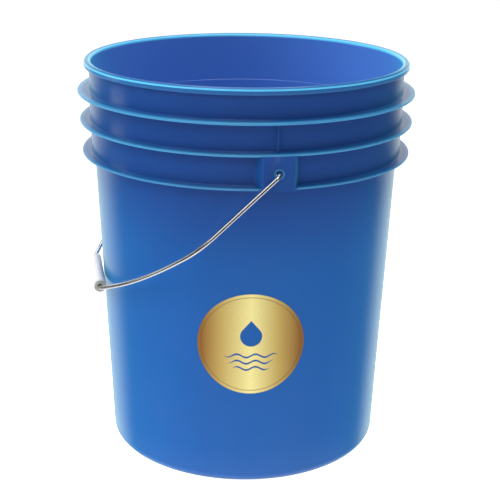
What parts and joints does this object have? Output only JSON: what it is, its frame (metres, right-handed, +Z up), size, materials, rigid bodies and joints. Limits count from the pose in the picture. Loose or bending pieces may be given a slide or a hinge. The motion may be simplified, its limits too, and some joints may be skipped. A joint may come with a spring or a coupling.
{
  "type": "wash bucket",
  "caption": "Tapered plastic pail with a flanged neck, a swinging wire bail with a turning grip, and a plain round foil label, for washing vehicles.",
  "frame": {"origin": "centre of the foot, on the plane the bucket stands on", "axes": "+Z up along the pail's axis, +Y through the far ear so that the bail swings about a line along Y, -X towards the side where the bail hangs at rest"},
  "size_m": [0.315, 0.3252, 0.3746],
  "materials": {
    "pail": "semi-gloss blue moulded polyethylene, faint flow and scuff marks",
    "bail": "bright zinc-plated drawn steel wire",
    "grip": "satin white moulded plastic",
    "label": null
  },
  "bodies": {
    "pail": {"pail_body": "pail", "label": "label"},
    "bail": {"bail_wire": "bail"},
    "grip": {"grip": "grip"}
  },
  "joints": [
    {"name": "bail_swing", "type": "hinge", "parent": "pail", "child": "bail", "pos_m": [0, 0, 0.3029], "axis": [0, 1, 0], "range_deg": [0, 265.67]},
    {"name": "grip_spin", "type": "hinge", "parent": "bail", "child": "grip", "pos_m": [-0.14432, 0, 0.16908], "axis": [0, 1, 0], "continuous": true}
  ]
}
